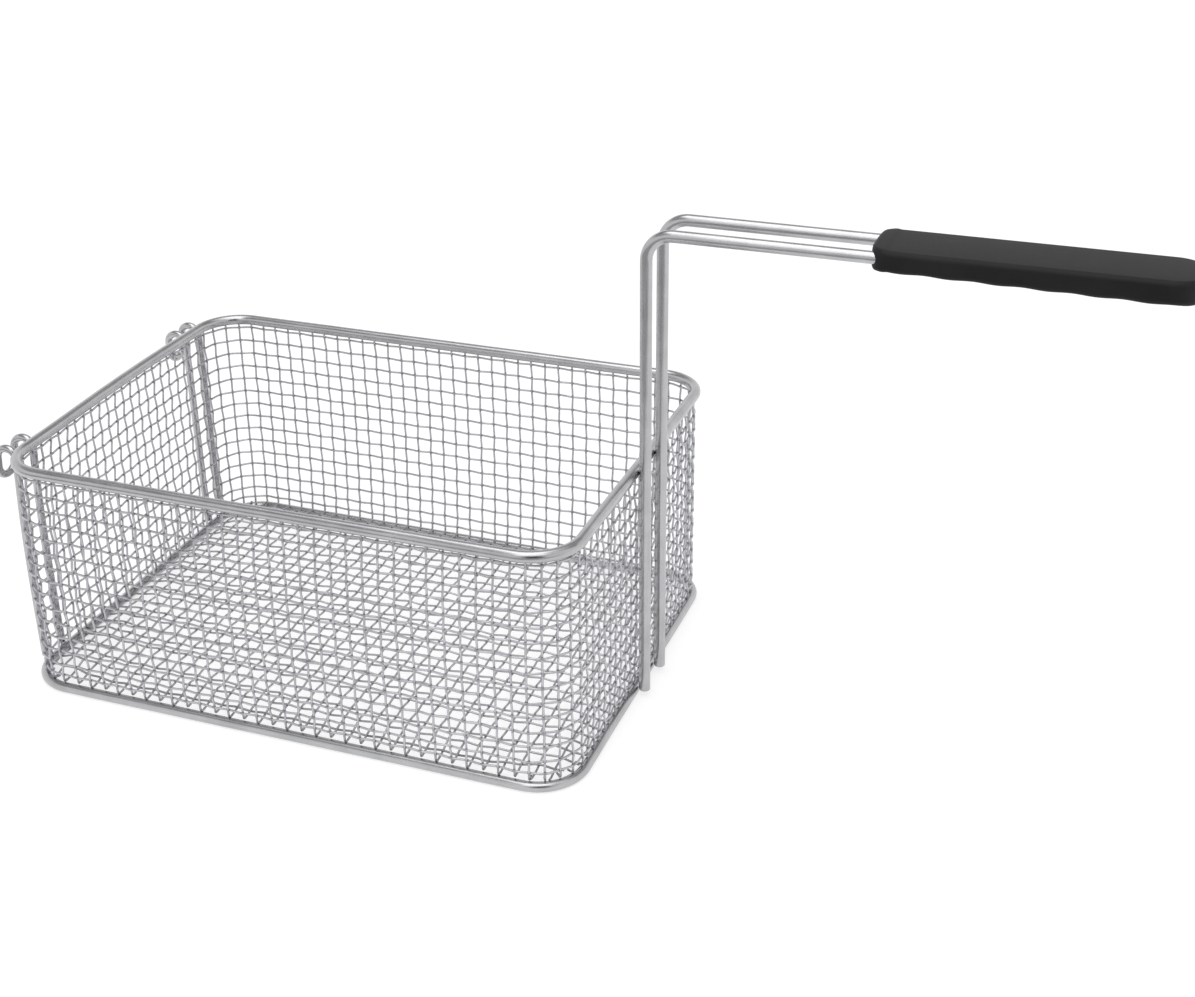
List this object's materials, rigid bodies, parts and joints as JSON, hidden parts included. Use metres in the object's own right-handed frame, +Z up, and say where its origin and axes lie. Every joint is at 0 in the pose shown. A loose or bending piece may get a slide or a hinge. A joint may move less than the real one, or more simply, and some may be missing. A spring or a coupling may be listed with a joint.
{
  "type": "deep fryer basket",
  "caption": "Rectangular woven-wire fryer basket with rim and base rods, a tall offset wire handle with a black grip, and drain hooks at the back.",
  "frame": {"origin": "middle of the basket's base, on the surface that the base rod stands on", "axes": "+X along the long side towards the handle, +Z up, +Y to the side that is right when facing the hooks from the handle"},
  "size_m": [0.4876, 0.191, 0.2177],
  "materials": {
    "rod_steel": "satin plated steel rod",
    "mesh_steel": "satin woven steel wire",
    "grip_black": "soft matt black"
  },
  "bodies": {
    "root": {"top_rim": "rod_steel", "base_rod": "rod_steel", "handle_wire": "rod_steel", "left_hook": "rod_steel", "right_hook": "rod_steel", "left_wall_uprights": "mesh_steel", "right_wall_uprights": "mesh_steel", "back_wall_uprights": "mesh_steel", "front_wall_uprights": "mesh_steel", "corner_uprights": "mesh_steel", "wall_hoop_1": "mesh_steel", "wall_hoop_2": "mesh_steel", "wall_hoop_3": "mesh_steel", "wall_hoop_4": "mesh_steel", "wall_hoop_5": "mesh_steel", "wall_hoop_6": "mesh_steel", "wall_hoop_7": "mesh_steel", "wall_hoop_8": "mesh_steel", "wall_hoop_9": "mesh_steel", "wall_hoop_10": "mesh_steel", "wall_hoop_11": "mesh_steel", "wall_hoop_12": "mesh_steel", "wall_hoop_13": "mesh_steel", "wall_hoop_14": "mesh_steel", "wall_hoop_15": "mesh_steel", "floor_long_wires": "mesh_steel", "floor_cross_wires": "mesh_steel", "handle_grip": "grip_black"}
  },
  "joints": []
}
